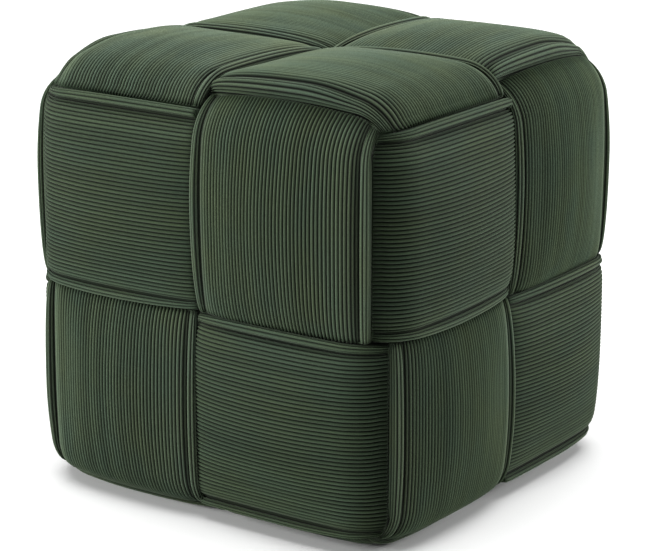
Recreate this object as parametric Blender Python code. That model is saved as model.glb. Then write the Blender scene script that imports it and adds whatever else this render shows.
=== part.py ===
"""Cube pouf stool of six padded corduroy bands, each sewn into a ring and woven with the others.

Every face of the cube shows two by two cells. In each cell one band lies on top, puffed between its two
hems, and the band that crosses it runs flat underneath. The bands meet on the seat, a rounded cube: a
band on top lies just outside the seat, a band underneath lies just inside it.

Each band is its section carried round a rounded square. A quarter of the ring runs from the middle line
of one face to the middle line of the next: first a cell on top, then, past the cube's edge, a cell
underneath. The quarter repeats four times, and the six bands are the same ring turned about.

Metres, +Z up. The origin is the middle of the underside, on the floor.
"""
import math
from collections import namedtuple

import bmesh
import bpy
import numpy as np

MM = 0.001

# Seat: the rounded cube that parts the bands on top from the bands underneath
HALF_WIDTH = 195 * MM
HALF_HEIGHT = 198 * MM
EDGE_RADIUS = 44 * MM

# The pouf's weight presses its underside: everything between two levels is squeezed, then cut off flat.
# The levels are measured upwards from the seat's underside.
PRESS_TOP = 22 * MM
PRESS_BOTTOM = -8 * MM
FLOOR_LEVEL = 2 * MM

# Half of the gap between two bands, on each side of the seat and of a cell's border
SEAT_GAP = 0.45 * MM
BORDER_GAP = 0.3 * MM

# A band on top: two hems, two stitched grooves and a puffed body. The inner hem lies on the cube's middle
# line and the outer hem on its edge. Rises are measured from the seat's flat faces, in the middle of a
# cell; the outer side of a cell on the cube's top stands higher by TOP_LIFT.
HEM_WIDTH = 8.5 * MM
GROOVE_WIDTH = 4.5 * MM
GROOVE_DEPTH = 4 * MM
GROOVE_SLOPE = 1.5 * MM
FOLD_REACH = 2 * MM
FOLD_DROP = 0.7 * MM
INNER_HEM_RISE = 14.5 * MM
INNER_HEM_FOOT = 7 * MM
OUTER_HEM_RISE = 6 * MM
OUTER_FOLD_DROP = 1.5 * MM
OUTER_HEM_REACH = 0.8 * MM
OUTER_HEM_FOOT = -2.5 * MM
INNER_BODY_RISE = 15.5 * MM
OUTER_BODY_RISE = 7 * MM
BODY_BULGE = 5.5 * MM
BULGE_POWER = 2.5
FALL_POWER = 4
BLEND_POWER = 4
TOP_LIFT = 6 * MM

# Along a cell, a hem rises in one arch from a small share of its height at each end. The body starts from
# its neighbour's hem at a share of its full height, and fills out over a short distance at the start and
# a longer one at the cube's edge.
HEM_START_POWER = 0.625
HEM_END_POWER = 0.9
HEM_SHARE = 0.14
BODY_ARCH_POWER = 0.8
START_SHARE = 0.33
START_FILL = 55 * MM
END_SHARE = 0.12
END_SHARE_UNDER_TOP = 0.4
END_SLACK = 11 * MM
END_FILL = 75 * MM

# A band underneath: flatter, and set back from the cell's borders so that its neighbour can pass. Its
# two sides close to a thin rounded edge.
PAD_UNDER = 13 * MM
INNER_SETBACK = 18 * MM
UNDER_LATITUDE = math.radians(22)
UNDER_ROUNDING = 5 * MM
UNDER_EDGE = 3 * MM

# On a corner of the cube three hems meet at one point, where the three direction cosines are the same
CORNER_COSINE = 1 / math.sqrt(3)
HEM_LATITUDE = math.asin(CORNER_COSINE)

# A floor chord over the seat's rounded edge stands this much proud, so that its middle clears the seat
CHORD_LIFT = 0.9 * MM

BODY_SHARES = (0, 0.1, 0.33, 0.64, 0.88, 1)

Band = namedtuple("Band", "name outer first colour")
SectionPoint = namedtuple("SectionPoint", "seat side rise body")
Station = namedtuple("Station", "rule value wide low")

BANDS = (
    Band("band_x_pos", (1, 0, 0), (0, -1, 0), (0.075, 0.105, 0.065)),
    Band("band_x_neg", (-1, 0, 0), (0, -1, 0), (0.072, 0.102, 0.064)),
    Band("band_y_neg", (0, -1, 0), (1, 0, 0), (0.077, 0.108, 0.067)),
    Band("band_y_pos", (0, 1, 0), (1, 0, 0), (0.070, 0.100, 0.062)),
    Band("band_z_upper", (0, 0, 1), (0, -1, 0), (0.074, 0.104, 0.066)),
    Band("band_z_lower", (0, 0, -1), (0, -1, 0), (0.071, 0.101, 0.063)),
)

# Stations of one quarter, in order along the ring. "wide" is a full section with its hems, and "low" has
# its inside face below the seat, where no band lies beneath it.
STATIONS = (
    Station("start", BORDER_GAP, False, True),
    Station("start", 1.4 * MM, True, True),
    Station("start", 7 * MM, True, True),
    Station("start", 13 * MM, True, True),
    Station("start", 17.5 * MM, True, False),
    Station("flat", 0.30, True, False),
    Station("flat", 0.53, True, False),
    Station("flat", 0.78, True, False),
    Station("flat", 1.0, True, False),
    Station("turn", math.radians(24), True, False),
    Station("turn", math.radians(31), True, True),
    Station("before", 0.5, True, True),
    Station("border", 1.4 * MM, True, True),
    Station("border", BORDER_GAP, False, True),
    Station("after", 0.5, False, True),
    Station("after", 1.0, False, True),
)
TURN_LAST = math.radians(31)


def half_size(axis):
    """Return the seat's half size along one of the six face directions."""
    return HALF_HEIGHT if abs(axis[2]) > 0.5 else HALF_WIDTH


def flat_half(axis):
    """Return how far the seat's flat faces reach along a face direction, short of the rounded edge."""
    return half_size(axis) - EDGE_RADIUS


def seat_point(seat, height, flat):
    """Place a point across the band: its side distance and rise for a distance along the seat."""
    if seat <= flat:
        return seat, height
    latitude = (seat - flat) / EDGE_RADIUS
    radius = EDGE_RADIUS + height
    return flat + radius * math.sin(latitude), radius * math.cos(latitude) - EDGE_RADIUS


def latitude_of(seat, flat):
    """Return the angle that a point has turned over the cube's edge, across the band."""
    return max(0.0, (seat - flat) / EDGE_RADIUS)


def border_angle(latitude):
    """Return the turn round the next edge at which the neighbour's hem covers this band."""
    return math.acos(min(1.0, CORNER_COSINE / math.cos(latitude)))


def turn_angle(turn, latitude):
    """Return the turn round the next edge of a line that the crossing band's edge follows."""
    return math.asin(min(1.0, math.sin(turn) / math.cos(latitude)))


def top_section(flat, lift):
    """List the upper side of a full section, from the cube's middle line out to the cube's edge."""
    end = flat + EDGE_RADIUS * HEM_LATITUDE
    hem_side = seat_point(end, 0, flat)[0] + OUTER_HEM_REACH
    outer_rise = OUTER_HEM_RISE + lift
    groove = HEM_WIDTH + GROOVE_SLOPE
    crest = HEM_WIDTH - GROOVE_SLOPE
    points = [
        SectionPoint(BORDER_GAP, BORDER_GAP, INNER_HEM_FOOT, 0),
        SectionPoint(FOLD_REACH, FOLD_REACH, INNER_HEM_RISE - FOLD_DROP, 0),
        SectionPoint(crest, crest, INNER_HEM_RISE, 0),
        SectionPoint(groove, groove, INNER_HEM_RISE - GROOVE_DEPTH, 0),
    ]
    body_start = HEM_WIDTH + GROOVE_WIDTH
    body_end = end - HEM_WIDTH - GROOVE_WIDTH
    for share in BODY_SHARES:
        seat = body_start + (body_end - body_start) * share
        fall = (INNER_BODY_RISE - OUTER_BODY_RISE - lift) * share ** FALL_POWER
        bulge = BODY_BULGE * (1 - abs(2 * share - 1) ** BULGE_POWER)
        rise = INNER_BODY_RISE - fall + bulge
        body = 1 - (2 * share - 1) ** BLEND_POWER
        points.append(SectionPoint(seat, seat_point(seat, 0, flat)[0], rise, body))
    points += [
        SectionPoint(end - groove, hem_side - groove, outer_rise - GROOVE_DEPTH, 0),
        SectionPoint(end - crest, hem_side - crest, outer_rise, 0),
        SectionPoint(end - FOLD_REACH, hem_side - FOLD_REACH / 2, outer_rise - OUTER_FOLD_DROP, 0),
        SectionPoint(end - BORDER_GAP, hem_side, OUTER_HEM_FOOT + lift, 0),
    ]
    return points


def floor_section(flat):
    """List the seat distances of the section's inside face, from the cube's edge back to the middle."""
    end = flat + EDGE_RADIUS * HEM_LATITUDE - BORDER_GAP
    return [end, (flat + end) / 2, flat - FOLD_REACH, flat / 2, BORDER_GAP]


def narrowed(seat, flat):
    """Move a seat distance of the full section into the narrower section of a band underneath."""
    full_end = flat + EDGE_RADIUS * HEM_LATITUDE - BORDER_GAP
    narrow_end = flat + EDGE_RADIUS * UNDER_LATITUDE
    share = (seat - BORDER_GAP) / (full_end - BORDER_GAP)
    return INNER_SETBACK + (narrow_end - INNER_SETBACK) * share


def rounding(seat, flat):
    """Return how far, from 0 to 1, a narrow section has closed towards its middle near its two edges."""
    narrow_end = flat + EDGE_RADIUS * UNDER_LATITUDE
    inset = min(seat - INNER_SETBACK, narrow_end - seat)
    missing = min(1.0, max(0.0, 1 - inset / UNDER_ROUNDING))
    return 1 - math.sqrt(1 - missing ** 2)


def path_distance(station, latitude, flat):
    """Return how far along the quarter a station's point lies, for its turn across the band."""
    border = border_angle(latitude)
    if station.rule == "start":
        return station.value
    if station.rule == "flat":
        return station.value * flat
    if station.rule == "turn":
        return flat + EDGE_RADIUS * turn_angle(station.value, latitude)
    if station.rule == "before":
        last = turn_angle(TURN_LAST, latitude)
        return flat + EDGE_RADIUS * (last + (border - last) * station.value)
    if station.rule == "border":
        return flat + EDGE_RADIUS * border - station.value
    return flat + EDGE_RADIUS * (border + (math.pi / 2 - border) * station.value)


def hem_arch(distance, length):
    """Return a hem's height along a cell: a small share at the cell's two ends, and 1 in its middle."""
    power = HEM_START_POWER if distance < length / 2 else HEM_END_POWER
    arch = (1 - (2 * distance / length - 1) ** 2) ** power
    return HEM_SHARE + (1 - HEM_SHARE) * arch


def filling(distance, reach):
    """Return how far the body has filled out, from 0 to 1, at a distance from where it starts to rise."""
    share = min(1.0, max(0.0, distance / reach))
    return (1 - (1 - share) ** 2) ** BODY_ARCH_POWER


def puffing(distance, length, body, end_share):
    """Return the height of a cell on top as a share of its full height.

    "body" tells the padded body, 1, from a hem, 0; between them the two courses blend.
    """
    start = START_SHARE + (1 - START_SHARE) * filling(distance, START_FILL)
    finish = end_share + (1 - end_share) * filling(length - distance - END_SLACK, END_FILL)
    return body * start * finish + (1 - body) * hem_arch(distance, length)


def ring_point(outer, here, ahead, distance, side, rise):
    """Place a section's point in space, for its distance along the quarter that starts on one face."""
    flat = flat_half(ahead)
    if distance <= flat:
        return here * (half_size(here) + rise) + ahead * distance + outer * side
    turn = (distance - flat) / EDGE_RADIUS
    arm = here * math.cos(turn) + ahead * math.sin(turn)
    return here * flat_half(here) + ahead * flat + arm * (EDGE_RADIUS + rise) + outer * side


def section_loop(station, outer, here, ahead):
    """List the points of one section round the band: its upper side outwards, its inside face back."""
    flat = flat_half(outer)
    ahead_flat = flat_half(ahead)
    lift = TOP_LIFT if here[2] > 0.5 else 0
    end_share = END_SHARE_UNDER_TOP if ahead[2] > 0.5 else END_SHARE
    loop = []
    for point in top_section(flat, lift):
        seat = point.seat if station.wide else narrowed(point.seat, flat)
        latitude = latitude_of(seat, flat)
        distance = path_distance(station, latitude, ahead_flat)
        height = -SEAT_GAP
        if not station.wide:
            height -= rounding(seat, flat) * (PAD_UNDER - UNDER_EDGE) / 2
        side, rise = seat_point(seat, height, flat)
        if station.wide:
            flat_side, flat_rise = seat_point(seat, 0, flat)
            length = ahead_flat + EDGE_RADIUS * border_angle(latitude)
            puff = puffing(distance, length, point.body, end_share)
            side += puff * (point.side - flat_side)
            rise += puff * (point.rise - flat_rise)
        loop.append(ring_point(outer, here, ahead, distance, side, rise))
    for full_seat in floor_section(flat):
        seat = full_seat if station.wide else narrowed(full_seat, flat)
        latitude = latitude_of(seat, flat)
        distance = path_distance(station, latitude, ahead_flat)
        height = SEAT_GAP
        if latitude > 0 or distance >= ahead_flat:
            height += CHORD_LIFT
        if station.low:
            height = -SEAT_GAP - PAD_UNDER
            if not station.wide:
                height += rounding(seat, flat) * (PAD_UNDER - UNDER_EDGE) / 2
        side, rise = seat_point(seat, height, flat)
        loop.append(ring_point(outer, here, ahead, distance, side, rise))
    return loop


def settle(place):
    """Move a point measured from the seat's middle to where it lies once the pouf stands on the floor."""
    above = place[2] + HALF_HEIGHT
    share = min(1.0, max(0.0, (PRESS_TOP - above) / (PRESS_TOP - PRESS_BOTTOM)))
    pressed = above + (FLOOR_LEVEL - PRESS_BOTTOM) * share
    return place[0], place[1], max(0.0, pressed - FLOOR_LEVEL)


def band_material(band):
    """Return the band's plain corduroy material."""
    material = bpy.data.materials.new(band.name)
    material.use_nodes = True
    shader = material.node_tree.nodes["Principled BSDF"]
    shader.inputs["Base Color"].default_value = (*band.colour, 1)
    shader.inputs["Roughness"].default_value = 0.9
    shader.inputs["Metallic"].default_value = 0.0
    return material


def make_band(band):
    """Build one ring: its sections in order, joined by quads."""
    outer = np.array(band.outer, float)
    here = np.array(band.first, float)
    mesh = bmesh.new()
    loops = []
    for _quarter in range(4):
        ahead = np.cross(here, outer)
        for station in STATIONS:
            loops.append([mesh.verts.new(settle(point)) for point in section_loop(station, outer, here, ahead)])
        here = ahead
    for index, loop in enumerate(loops):
        following = loops[(index + 1) % len(loops)]
        for first in range(len(loop)):
            second = (first + 1) % len(loop)
            mesh.faces.new((loop[first], loop[second], following[second], following[first]))
    bmesh.ops.recalc_face_normals(mesh, faces=mesh.faces)
    data = bpy.data.meshes.new(band.name)
    mesh.to_mesh(data)
    mesh.free()
    data.materials.append(band_material(band))
    data.shade_smooth()
    data.set_sharp_from_angle(angle=math.radians(40))
    ring = bpy.data.objects.new(band.name, data)
    bpy.context.scene.collection.objects.link(ring)
    return ring


def main():
    """Clear the scene and build the six bands."""
    for thing in list(bpy.data.objects):
        bpy.data.objects.remove(thing, do_unlink=True)
    for band in BANDS:
        make_band(band)


main()
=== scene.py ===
"""Looks of the cube pouf stool: six padded corduroy bands, each sewn into a ring and woven with the others.

Every face of the cube shows two by two cells. In each cell one band lies on top, puffed between its two
hems, and the band that crosses it runs flat underneath. All six bands are the same ring, turned about,
but the cells on the cube's top have a thicker, arched outer hem, and the floor presses the lowest flat.

A band's surface is a grid. One way it runs round the ring, through the stations; the other way it runs
round the section: up the inner hem, over the puffed body with its ribs, down the outer hem and back along
the inside. Metres, +Z up. The origin is the middle of the underside, on the floor.
"""
import logging
import math
from dataclasses import dataclass, field
from enum import Enum

import bpy
import numpy as np
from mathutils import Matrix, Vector


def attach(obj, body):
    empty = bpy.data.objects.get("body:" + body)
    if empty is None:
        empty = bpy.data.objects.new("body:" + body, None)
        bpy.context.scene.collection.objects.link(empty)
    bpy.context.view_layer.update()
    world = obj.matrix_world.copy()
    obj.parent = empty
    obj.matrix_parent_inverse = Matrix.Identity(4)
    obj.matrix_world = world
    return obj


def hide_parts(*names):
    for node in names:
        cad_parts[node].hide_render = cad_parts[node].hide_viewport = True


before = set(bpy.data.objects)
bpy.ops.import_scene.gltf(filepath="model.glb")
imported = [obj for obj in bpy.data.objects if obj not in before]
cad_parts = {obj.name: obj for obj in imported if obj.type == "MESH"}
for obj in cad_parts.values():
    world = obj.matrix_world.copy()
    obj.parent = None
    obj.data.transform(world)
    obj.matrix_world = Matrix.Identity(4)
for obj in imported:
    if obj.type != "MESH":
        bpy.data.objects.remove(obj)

MM = 0.001
LOG = logging.getLogger("pouf")

# On a corner of the cube three hems meet at one point, where the three direction cosines are the same
CORNER_COSINE = 1 / math.sqrt(3)
HEM_LATITUDE = math.asin(CORNER_COSINE)

# Powers that shape a filling: a quarter of an ellipse, or a parabola
ROUND = 0.5
PARABOLA = 1.0

# The shortest normal that is made one long
TINY = 1e-12


def running_sum(steps: np.ndarray) -> np.ndarray:
    """Return how far one has come after each step, starting at 0."""
    return np.concatenate(([0], np.cumsum(steps)))


def linked(name: str, data: bpy.types.ID) -> bpy.types.Object:
    """Make an object and link it to the scene.

    Args:
        name: The object's name.
        data: The mesh, lamp or camera that it shows.

    Returns:
        The object.
    """
    shown = bpy.data.objects.new(name, data)
    bpy.context.scene.collection.objects.link(shown)
    return shown


class Face(Enum):
    """The six faces of the cube, by the direction in which each looks."""

    RIGHT = (1, 0, 0)
    LEFT = (-1, 0, 0)
    FRONT = (0, -1, 0)
    BACK = (0, 1, 0)
    TOP = (0, 0, 1)
    UNDER = (0, 0, -1)

    @property
    def way(self) -> np.ndarray:
        """Return the face's outward direction."""
        return np.array(self.value, float)

    def ahead(self, outer: "Face") -> "Face":
        """Return the next face on a ring's way round: the cross product of this one and the outer one."""
        return Face(tuple(int(value) for value in np.cross(self.value, outer.value)))


class Layer(Enum):
    """The two faces of a padded band, with the sign of the way in which each looks."""

    OUTER = 1
    INSIDE = -1


class Curve(Enum):
    """How a number goes from one end of its range to the other, by the name of the node's setting."""

    STRAIGHT = "LINEAR"
    EASED = "SMOOTHSTEP"


@dataclass(frozen=True)
class RoundedCube:
    """Rounded cube whose surface is the bands' seat: those on top lie just outside it, the others inside.

    Attributes:
        half_width: Half of its width along X and Y.
        half_height: Half of its height along Z.
        edge_radius: Radius of its rounded edges.
        gap: How far a band stays clear of it, on either side.
        border_gap: How far a band stays clear of a cell's border.
        floor_level: Height of the floor above its underside.
        press_top: Height above its underside where the floor's pressing starts.
        press_bottom: The lowest height that is pressed up to the floor.
    """

    half_width: float = 195 * MM
    half_height: float = 198 * MM
    edge_radius: float = 44 * MM
    gap: float = 0.45 * MM
    border_gap: float = 0.3 * MM
    floor_level: float = 2 * MM
    press_top: float = 22 * MM
    press_bottom: float = -8 * MM

    @property
    def centre_height(self) -> float:
        """Return the height of the cube's middle above the floor."""
        return self.half_height - self.floor_level

    def half_size(self, way: np.ndarray) -> float:
        """Return the cube's half size along a face direction."""
        return self.half_height if abs(way[2]) > 0.5 else self.half_width

    def flat_half(self, way: np.ndarray) -> float:
        """Return how far the flat faces reach along a face direction, short of the rounded edge."""
        return self.half_size(way) - self.edge_radius

    def across(self, seat: np.ndarray, height: np.ndarray, flat: float) -> tuple[np.ndarray, np.ndarray]:
        """Place points across a band.

        The course is straight up to the end of the flat face, and then an arc of the edge's radius plus
        the point's height.

        Args:
            seat: Distances along the seat from the cube's middle line.
            height: Heights above the seat.
            flat: Where the flat face ends.

        Returns:
            The side distances and the rises over the flat face.
        """
        turned = self.latitude(seat, flat)
        radius = self.edge_radius + height
        side = np.minimum(seat, flat) + radius * np.sin(turned)
        return side, radius * np.cos(turned) - self.edge_radius

    def seat_end(self, flat: float) -> float:
        """Return where the seat ends across a band: at the latitude on which three hems meet."""
        return flat + self.edge_radius * HEM_LATITUDE

    def latitude(self, seat: np.ndarray, flat: float) -> np.ndarray:
        """Return the angle that points have turned over the cube's edge, across the band."""
        return np.maximum(seat - flat, 0) / self.edge_radius

    def border_turn(self, latitude: np.ndarray) -> np.ndarray:
        """Return the turn round the next edge at which the neighbour's hem covers this band.

        The border is where the cosine of the turn times the cosine of the latitude is the corner's cosine.
        """
        return np.arccos(np.clip(CORNER_COSINE / np.cos(latitude), 0, 1))

    def place(self, here: np.ndarray, ahead: np.ndarray, outer: np.ndarray, distance: np.ndarray,
              side: np.ndarray, rise: np.ndarray) -> np.ndarray:
        """Carry a section's points round the rounded square on which a ring runs.

        A point goes straight along the face up to its end, and then turns round the edge: the arm from the
        edge's axis swings from "here" to "ahead" and is as long as the radius plus the rise.

        Args:
            here: Direction of the face on which the quarter starts.
            ahead: Direction of the next face.
            outer: Direction of the band's outer side.
            distance: Distances along the quarter.
            side: Side distances across the band.
            rise: Rises over the flat face.

        Returns:
            The points, measured from the cube's middle, with the coordinates along the last axis.
        """
        flat = self.flat_half(ahead)
        turn = np.maximum(distance - flat, 0) / self.edge_radius
        arm = self.edge_radius + rise
        along_here = self.flat_half(here) + arm * np.cos(turn)
        along_ahead = np.minimum(distance, flat) + arm * np.sin(turn)
        return along_here[..., None] * here + along_ahead[..., None] * ahead + side[..., None] * outer

    def settle(self, points: np.ndarray) -> np.ndarray:
        """Move points measured from the cube's middle to where they lie once the pouf stands on the floor.

        Heights between the two press levels are squeezed in proportion, so that the lowest one comes up
        to the floor, and whatever would still lie below the floor is set on it.

        Args:
            points: Points with their coordinates along the last axis.

        Returns:
            The points measured from the origin on the floor.
        """
        above = points[..., 2] + self.half_height
        share = np.clip((self.press_top - above) / (self.press_top - self.press_bottom), 0, 1)
        pressed = above + (self.floor_level - self.press_bottom) * share
        settled = points.copy()
        settled[..., 2] = np.maximum(pressed - self.floor_level, 0)
        return settled


@dataclass(frozen=True)
class Ribs:
    """The raised ribs of the corduroy, which run along the band.

    Attributes:
        count: Number of ribs across the cloth of a band.
        pitch: Usual distance from rib to rib.
        depth: Height of a rib over the furrow beside it.
        fullness: Exponent of the rib's sine: above one makes it slimmer and its furrow wider.
        stops: Where the surface is sampled across one rib, as shares of the pitch.
    """

    count: int = 60
    pitch: float = 3.8 * MM
    depth: float = 2.3 * MM
    fullness: float = 1.5
    stops: tuple[float, ...] = (0.0, 0.1, 0.27, 0.5, 0.73, 0.9)

    def phases(self) -> np.ndarray:
        """Return the sample places across the cloth, counted in ribs."""
        phases = (np.arange(self.count)[:, None] + np.array(self.stops)).ravel()
        return np.append(phases, self.count)

    def height(self, phase: np.ndarray) -> np.ndarray:
        """Return the rib's height from 0 in the furrow to 1 on the crest: a sine to a power."""
        return np.abs(np.sin(math.pi * phase)) ** self.fullness


@dataclass(frozen=True)
class Profile:
    """One section of a band in the middle of a cell, sampled across the cloth.

    Attributes:
        phase: Place across the cloth, counted in ribs.
        seat: Distance along the seat.
        side: Side distance at full height.
        rise: Rise over the flat face at full height.
        body: 1 on the puffed body and 0 on the hems.
        share: 0 on the inner hem and 1 on the outer hem.
        relief: 1 where the ribs have their full depth, and less on the hems and in the stitched grooves.
        light: Painted light and shade: 1 where the colour is painted fully lit, less down in the stitched
            grooves, where shade falls.
    """

    phase: np.ndarray
    seat: np.ndarray
    side: np.ndarray
    rise: np.ndarray
    body: np.ndarray
    share: np.ndarray
    relief: np.ndarray
    light: np.ndarray


@dataclass(frozen=True)
class HemPoint:
    """A point of a hem's outline.

    Attributes:
        inset: Distance in from the hem's outer face.
        drop: Distance down from the hem's crest.
        relief: How much of the ribs' depth shows there.
        light: Painted light and shade there: the share of light painted into the colour.
    """

    inset: float
    drop: float
    relief: float = 1.0
    light: float = 1.0


@dataclass(frozen=True)
class Section:
    """Shape of a band across its width, in the middle of a cell.

    Attributes:
        hem: Outline of a hem, from its outer face over its crest into the stitched groove.
        top_hem: The same for the outer hem on the cube's top, which is a thicker roll.
        foot_inset: How far in from its outer face a hem's foot stands.
        top_foot_inset: The same under that roll.
        foot_height: Height of that foot over the seat.
        foot_light: Painted shade at a hem's foot: the share of light painted there.
        outer_face_light_power: The power to which the painted light on an outer hem's outer face is raised,
            which paints it lighter.
        hem_reach: Width of a hem and its groove, where the body starts.
        groove_light: Painted shade where the body comes out of the groove: the share of light painted
            there.
        groove_fade: Width of the body over which that painted shade fades.
        shoulder: Width of the body's round shoulder beside the groove.
        shoulder_drop: How far that shoulder goes down.
        inner_rise: Rise of the inner hem's crest.
        outer_rise: Rise of the outer hem's crest.
        outer_reach: How far the outer hem stands out sideways from the seat.
        top_reach: The same on the cube's top, where the hem overhangs its neighbour.
        inner_body: Rise of the body beside the inner hem.
        outer_body: Rise of the body beside the outer hem.
        top_hem_lift: How much higher the outer hem stands on the cube's top.
        top_body_lift: How much higher the outer side of the body stands there.
        roll_stretch: How much the cloth is stretched over that roll, which widens its ribs.
        fall_power: How late the body falls to its outer side.
        blend_power: How closely the body's sides follow the hems.
        hem_slack: What is added to a hem's length, so that its last point stays short of the body.
        body_steps: Number of steps in which the body's outline is worked out.
        rounding: Width of the smoothing that rounds the outline.
        rounding_steps: Number of samples within that width.
        rounding_reach: How many such widths the smoothing reaches to either side.
    """

    hem: tuple[HemPoint, ...] = (
        HemPoint(1.0 * MM, 8 * MM, 0.7, 0.35),
        HemPoint(0.2 * MM, 5.6 * MM, 0.9, 0.55),
        HemPoint(0.0, 3.6 * MM, 1.0, 0.8),
        HemPoint(0.5 * MM, 1.5 * MM),
        HemPoint(1.8 * MM, 0.3 * MM),
        HemPoint(3.2 * MM, 0.0),
        HemPoint(4.6 * MM, 0.6 * MM),
        HemPoint(5.8 * MM, 2.4 * MM, 0.9, 0.8),
        HemPoint(6.5 * MM, 5.0 * MM, 0.5, 0.3),
        HemPoint(8.6 * MM, 6.4 * MM, 0.5, 0.25),
    )
    top_hem: tuple[HemPoint, ...] = (
        HemPoint(3.4 * MM, 11.4 * MM, 1.0, 0.8),
        HemPoint(1.0 * MM, 10.2 * MM, 1.0, 0.95),
        HemPoint(0.0, 7.8 * MM),
        HemPoint(0.2 * MM, 5.6 * MM),
        HemPoint(1.2 * MM, 3.2 * MM),
        HemPoint(2.8 * MM, 1.2 * MM),
        HemPoint(4.6 * MM, 0.1 * MM),
        HemPoint(6.4 * MM, 0.2 * MM),
        HemPoint(7.8 * MM, 1.8 * MM, 0.9, 0.8),
        HemPoint(8.8 * MM, 4.2 * MM, 0.5, 0.35),
        HemPoint(9.8 * MM, 4.8 * MM, 0.5, 0.3),
    )
    foot_inset: float = 2.4 * MM
    top_foot_inset: float = 7.0 * MM
    foot_height: float = 0.6 * MM
    foot_light: float = 0.15
    outer_face_light_power: float = 0.35
    hem_reach: float = 10 * MM
    groove_light: float = 0.45
    groove_fade: float = 5 * MM
    shoulder: float = 15 * MM
    shoulder_drop: float = 6.2 * MM
    inner_rise: float = 14.5 * MM
    outer_rise: float = 6 * MM
    outer_reach: float = 2.0 * MM
    top_reach: float = 5.5 * MM
    inner_body: float = 15.5 * MM
    outer_body: float = 7 * MM
    top_hem_lift: float = 8 * MM
    top_body_lift: float = 10.5 * MM
    roll_stretch: float = 0.45
    fall_power: float = 4.0
    blend_power: float = 4.0
    hem_slack: float = 1 * MM
    body_steps: int = 60
    rounding: float = 0.7 * MM
    rounding_steps: int = 4
    rounding_reach: int = 3

    def laid_hem(self, edge: float, rise: float, foot: float, inward: float, roll: bool) -> np.ndarray:
        """Lay out a hem as rows of side, rise, relief and light, from its foot to the groove.

        Args:
            edge: Side distance of the hem's outer face.
            rise: Rise of its crest.
            foot: Rise of its foot.
            inward: 1 where the hem's inside lies at larger side distances, or else -1.
            roll: Whether it is the thicker roll on the cube's top.

        Returns:
            The rows.
        """
        hem = self.top_hem if roll else self.hem
        foot_inset = self.top_foot_inset if roll else self.foot_inset
        foot_light = hem[0].light if roll else self.foot_light
        rows = [(foot_inset, rise - foot, hem[0].relief, foot_light)]
        rows += [(point.inset, point.drop, point.relief, point.light) for point in hem]
        inset, drop, relief, light = np.array(rows).T
        return np.array((edge + inward * inset, rise - drop, relief, light))

    def hem_rows(self, hem: np.ndarray, share: float, end: float) -> np.ndarray:
        """Give a hem's points their seat distances, in proportion to the way walked over its outline.

        Args:
            hem: Rows of side, rise, relief and light, from its foot to the groove.
            share: 0 for the inner hem and 1 for the outer hem.
            end: Where the seat ends across the band.

        Returns:
            For each point its seat distance, side, rise, body, share, relief and light.
        """
        walked = running_sum(np.hypot(np.diff(hem[0]), np.diff(hem[1])))
        seat = self.hem_reach * walked / (walked[-1] + self.hem_slack)
        seat = end - seat if share else seat
        plain = np.zeros_like(walked)
        return np.array((seat, hem[0], hem[1], plain, plain + share, hem[2], hem[3])).T

    def body_rows(self, cube: RoundedCube, flat: float, end: float, lift: float) -> np.ndarray:
        """Lay out the puffed body between its two grooves.

        The body falls from its inner to its outer rise with a power of the share of its width, and goes
        down to each groove in a quarter of an ellipse. Beside a groove its painted shade fades in a
        straight line.

        Args:
            cube: The cube that the band lies on.
            flat: Where the seat's flat face ends across the band.
            end: Where the seat ends.
            lift: How much higher the outer side stands.

        Returns:
            For each point its seat distance, side, rise, body, share, relief and light.
        """
        share = np.linspace(0, 1, self.body_steps)
        seat = self.hem_reach + (end - 2 * self.hem_reach) * share
        fall = self.inner_body - self.outer_body - lift
        rise = self.inner_body - fall * share ** self.fall_power
        nearest = (end - 2 * self.hem_reach) * np.minimum(share, 1 - share)
        missing = np.clip(1 - nearest / self.shoulder, 0, 1)
        rise -= self.shoulder_drop * (1 - np.sqrt(1 - missing ** 2))
        body = 1 - np.abs(2 * share - 1) ** self.blend_power
        side = cube.across(seat, 0.0, flat)[0]
        # Painted shade beside the groove, fading in over the groove's fade width
        shaded = np.clip(1 - nearest / self.groove_fade, 0, 1)
        light = 1 - (1 - self.groove_light) * shaded
        return np.array((seat, side, rise, body, share, np.ones_like(share), light)).T

    def outline(self, cube: RoundedCube, flat: float, on_top: bool) -> np.ndarray:
        """Lay out the section's outline: inner hem, body and outer hem.

        The inner hem stands on the middle line, and the outer hem on the last of the seat.

        Args:
            cube: The cube that the band lies on.
            flat: Where the seat's flat face ends across the band.
            on_top: Whether the cell lies on the cube's top.

        Returns:
            For each point its seat distance, side, rise, body, share, relief and light.
        """
        hem_lift, body_lift = (self.top_hem_lift, self.top_body_lift) if on_top else (0.0, 0.0)
        reach = self.top_reach if on_top else self.outer_reach
        end = cube.seat_end(flat)
        end_side, end_rise = (float(value) for value in cube.across(end, 0.0, flat))
        inner = self.laid_hem(cube.border_gap, self.inner_rise, self.foot_height, 1.0, False)
        outer = self.laid_hem(end_side + reach, self.outer_rise + hem_lift,
                              end_rise + self.foot_height, -1.0, on_top)
        if not on_top:
            # The points before the crest are the hem's outer face, painted lighter; the last row is the
            # painted light
            crest = np.argmax(outer[1])
            outer[3, :crest] **= self.outer_face_light_power
        body = self.body_rows(cube, flat, end, body_lift)
        return np.concatenate((self.hem_rows(inner, 0.0, end), body, self.hem_rows(outer, 1.0, end)[::-1]))

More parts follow.
